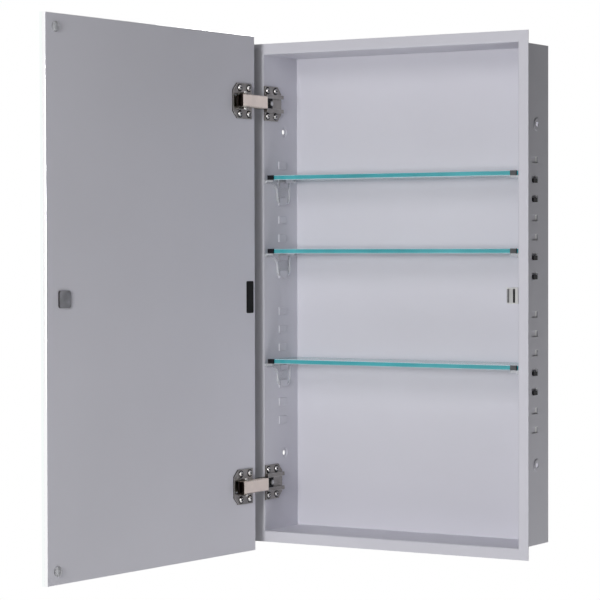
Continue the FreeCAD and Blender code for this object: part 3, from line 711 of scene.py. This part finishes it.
def screw_places():
    # Each screw's number, its way along and up the plate, and how far its recess is turned
    for number, ((column, end), degrees) in enumerate(zip(SCREW_CORNERS, SCREW_TURNS), 1):
        turn = Matrix.Rotation(math.radians(degrees), 4, "Z")
        yield number, SCREW_LEAD + column * SCREW_SPACING, end * SCREW_RISE / 2, turn


def add_hinge_screws():
    for level in LEVELS:
        low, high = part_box(level + "_hinge_wall_plate")
        middle = (low.z + high.z) / 2
        for number, lead, up, turn in screw_places():
            place = Matrix.Translation((low.x + PLATE_THICKNESS, low.y + lead, middle + up))
            add_screw(f"{level}_wall_plate_screw_{number}", place @ FACING_X @ turn, "cabinet")
            place = door_matrix(lead - DOOR_PLATE_LEAD, PLATE_THICKNESS, middle + up)
            add_screw(f"{level}_door_plate_screw_{number}", place @ FACING_Y @ turn, "door")


add_hinge_screws()


# Soft clear bumpers in the places of the plain ones

BUMPER_FOOT = 0.7 * MM
BUMPER_BASE_SHARE = 0.985
BUMPER_CHAMFER_SHARE = 0.4
BUMPER_ROUND_POWER = 0.8
BUMPER_SEGMENTS = 40
BUMPER_STEPS = 10


def bumper_profile(radius, height):
    profile = [
        (0.0, 0.0), (radius * BUMPER_BASE_SHARE, 0.0),
        (radius, BUMPER_FOOT * BUMPER_CHAMFER_SHARE), (radius, BUMPER_FOOT),
    ]
    for i in range(1, BUMPER_STEPS):
        angle = QUARTER_TURN * i / BUMPER_STEPS
        rise = (height - BUMPER_FOOT) * math.sin(angle)
        profile.append((radius * math.cos(angle) ** BUMPER_ROUND_POWER, BUMPER_FOOT + rise))
    return [*profile, (0.0, height)]


def add_bumpers():
    to_door = door_matrix(0.0, 0.0, 0.0).inverted()
    for level in LEVELS:
        node = level + "_door_bumper"
        low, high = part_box(node)
        centre = to_door @ ((low + high) / 2)
        radius = (high.z - low.z) / 2
        profile = bumper_profile(radius, 2 * centre.y)
        dome = mesh_object(level + "_soft_bumper", lambda mesh: spin_profile(mesh, profile, BUMPER_SEGMENTS))
        dome.data.shade_smooth()
        dome.data.materials.append(FINISHES["clear_bumper"])
        dome.matrix_world = door_matrix(centre.x, 0.0, centre.z) @ FACING_Y
        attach(dome, "door")
        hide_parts(node)


add_bumpers()


# A bare black label plate on the door's back, near its hinge edge

LABEL_INSET = 3.6 * MM
LABEL_WIDTH = 15.2 * MM
LABEL_HEIGHT = 41 * MM
LABEL_CENTRE = -4 * MM
LABEL_THICKNESS = 0.4 * MM
LABEL_CORNER = 2 * MM
LABEL_EDGE = 0.12 * MM
CORNER_SIDES = ((1, 1), (-1, 1), (-1, -1), (1, -1))
CORNER_STEPS = 6


def label_outline(inset):
    # The plate's outline with round corners, drawn in by the inset
    radius = LABEL_CORNER - inset
    points = []
    for number, (side, end) in enumerate(CORNER_SIDES):
        for i in range(CORNER_STEPS + 1):
            angle = QUARTER_TURN * (number + i / CORNER_STEPS)
            x = side * (LABEL_WIDTH / 2 - LABEL_CORNER) + radius * math.cos(angle)
            y = end * (LABEL_HEIGHT / 2 - LABEL_CORNER) + radius * math.sin(angle)
            points.append((x, y))
    return points


def build_label(mesh):
    outline, inner = label_outline(0.0), label_outline(LABEL_EDGE)
    rows = ((outline, 0.0), (outline, LABEL_THICKNESS - LABEL_EDGE), (inner, LABEL_THICKNESS))
    rings = [[mesh.verts.new((x, height, y)) for x, y in points] for points, height in rows]
    count = len(outline)
    for lower, upper in zip(rings, rings[1:]):
        for i in range(count):
            j = (i + 1) % count
            mesh.faces.new((lower[i], lower[j], upper[j], upper[i]))
    mesh.faces.new(rings[0])
    mesh.faces.new(rings[-1])


def add_label():
    label = mesh_object("bare_label_plate", build_label)
    label.data.materials.append(label_black)
    along = LABEL_INSET + LABEL_WIDTH / 2 - PIVOT_INSET
    label.matrix_world = door_matrix(along, 0.0, LABEL_CENTRE)
    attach(label, "door")


add_label()


# Floor, light and camera

WHITE = (1.0, 1.0, 1.0, 1.0)
AMBIENT = 0.02
FLOOR_COLOUR = (0.8, 0.8, 0.8, 1.0)
FLOOR_ROUGHNESS = 0.9
FLOOR_DROP = 0.9
FLOOR_RADIUS = 3.2
FLOOR_FADE = 1.6
FLOOR_SHOWN_WHITE = 0.88
FLOOR_SEGMENTS = 96

# Name, place, target, width and power in watts of each lamp
LAMPS = (
    ("key", (0.30, -2.5, 0.10), (0.0, 0.0, 0.0), 0.6, 27.0),
    ("high_key", (0.48, -2.1, 0.95), (0.0, 0.0, 0.0), 0.8, 10.0),
    ("low_side_fill", (1.0, -0.15, -1.0), (0.0, -0.1, 0.0), 0.6, 4.3),
    ("rear_fill", (-0.8, 2.2, 1.2), (0.0, 0.1, 0.0), 1.2, 36.0),
)

# The camera was solved from the photograph's straight edges; the lens is in millimetres
CAMERA_PLACE = (1.48224, -2.62967, 0.06077)
CAMERA_YAW = math.radians(31.49)
CAMERA_PITCH = math.radians(88.72)
CAMERA_ROLL = math.radians(-0.13)
CAMERA_LENS = 144.04


def seen_straight(nodes, links):
    # 1 for the rays that see the background itself or in gloss and glass, 0 for light on dull surfaces,
    # also where that light comes by way of the mirror
    path = nodes.new("ShaderNodeLightPath")
    mirrored = nodes.new("ShaderNodeMath")
    mirrored.operation = "SUBTRACT"
    mirrored.use_clamp = True
    links.new(path.outputs["Is Glossy Ray"], mirrored.inputs[0])
    links.new(path.outputs["Diffuse Depth"], mirrored.inputs[1])
    total = mirrored.outputs["Value"]
    for ray in ("Is Camera Ray", "Is Transmission Ray"):
        node = nodes.new("ShaderNodeMath")
        node.operation = "MAXIMUM"
        links.new(total, node.inputs[0])
        links.new(path.outputs[ray], node.inputs[1])
        total = node.outputs["Value"]
    return total


def build_floor(mesh):
    bmesh.ops.create_circle(mesh, cap_ends=True, segments=FLOOR_SEGMENTS, radius=FLOOR_RADIUS)


def add_floor():
    # A pale disc that fades into the white of the background at its rim
    floor = mesh_object("floor", build_floor)
    floor.location.z = cad_low.z - FLOOR_DROP
    pale = Shader("pale_floor")
    pale.set(Base_Color=FLOOR_COLOUR, Roughness=FLOOR_ROUGHNESS)
    length = pale.join(pale.add("VectorMath", operation="LENGTH"), _0=pale.place.outputs["Object"])
    white = pale.span(length.outputs["Value"], FLOOR_FADE, FLOOR_RADIUS, FLOOR_SHOWN_WHITE, 1.0)
    shown = pale.maths("MULTIPLY", seen_straight(pale.nodes, pale.links), white)
    glow = pale.add("Emission").outputs["Emission"]
    blend = pale.join(pale.add("MixShader"), Fac=shown, _1=pale.surface.outputs["BSDF"], _2=glow)
    pale.links.new(blend.outputs["Shader"], pale.output.inputs["Surface"])
    floor.data.materials.append(pale.material)


def light_world():
    # White where it is seen, and a faint light on what is dull
    world = bpy.data.worlds.new("studio")
    bpy.context.scene.world = world
    world.use_nodes = True
    nodes, links = world.node_tree.nodes, world.node_tree.links
    ambient = nodes["Background"]
    ambient.inputs["Color"].default_value = WHITE
    ambient.inputs["Strength"].default_value = AMBIENT
    white = nodes.new("ShaderNodeBackground")
    white.inputs["Color"].default_value = WHITE
    blend = nodes.new("ShaderNodeMixShader")
    links.new(seen_straight(nodes, links), blend.inputs["Fac"])
    links.new(ambient.outputs["Background"], blend.inputs[1])
    links.new(white.outputs["Background"], blend.inputs[2])
    links.new(blend.outputs["Shader"], nodes["World Output"].inputs["Surface"])


def add_lamps():
    for name, place, target, width, power in LAMPS:
        data = bpy.data.lights.new(name, "AREA")
        data.shape = "DISK"
        data.size = width
        data.energy = power
        lamp = bpy.data.objects.new(name, data)
        lamp.location = place
        lamp.rotation_euler = (Vector(target) - Vector(place)).to_track_quat("-Z", "Y").to_euler()
        bpy.context.scene.collection.objects.link(lamp)


def add_camera():
    data = bpy.data.cameras.new("camera")
    data.lens = CAMERA_LENS
    camera = bpy.data.objects.new("camera", data)
    turn = Matrix.Rotation(CAMERA_YAW, 4, "Z") @ Matrix.Rotation(CAMERA_PITCH, 4, "X")
    camera.matrix_world = Matrix.Translation(CAMERA_PLACE) @ turn @ Matrix.Rotation(CAMERA_ROLL, 4, "Z")
    bpy.context.scene.collection.objects.link(camera)
    bpy.context.scene.camera = camera


add_floor()
light_world()
add_lamps()
add_camera()
bpy.context.scene.view_settings.view_transform = "Standard"
